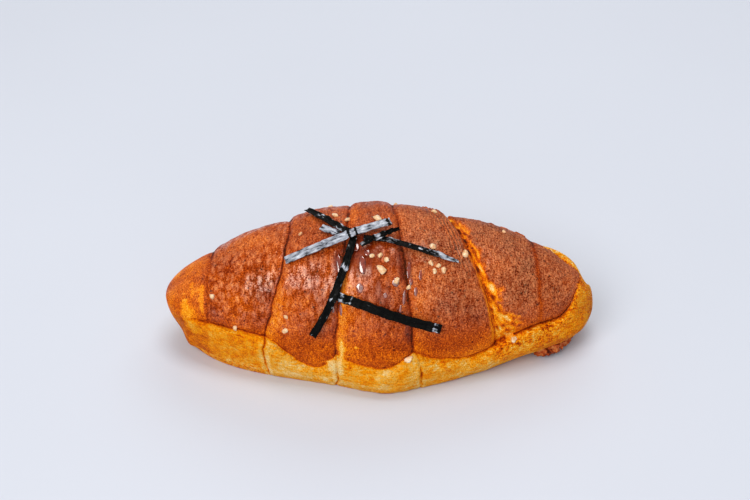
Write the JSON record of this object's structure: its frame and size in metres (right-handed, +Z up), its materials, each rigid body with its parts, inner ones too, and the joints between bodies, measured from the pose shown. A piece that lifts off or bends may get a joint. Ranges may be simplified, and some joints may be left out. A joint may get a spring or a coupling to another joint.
{
  "type": "salt bread roll",
  "caption": "Blunt spindle-shaped bread roll of wrapped dough, glossy brown on top with a paler foot round its base, chopped grains baked on and thin shreds of dried seaweed.",
  "frame": {"origin": "middle of the roll's bounding box in plan, on the flat base it rests on", "axes": "+X along the roll from its left tip to its right tip as seen from the front, -Y the front, +Z up"},
  "size_m": [0.145, 0.0643, 0.0525],
  "materials": {
    "crust": "satin",
    "seaweed": "satin"
  },
  "bodies": {
    "root": {"bread_roll": "crust", "nori_strip_a": "seaweed", "nori_strip_b": "seaweed", "nori_strip_c": "seaweed", "nori_strip_d": "seaweed", "nori_strip_e": "seaweed", "nori_strip_f": "seaweed", "nori_strip_g": "seaweed"}
  },
  "joints": []
}
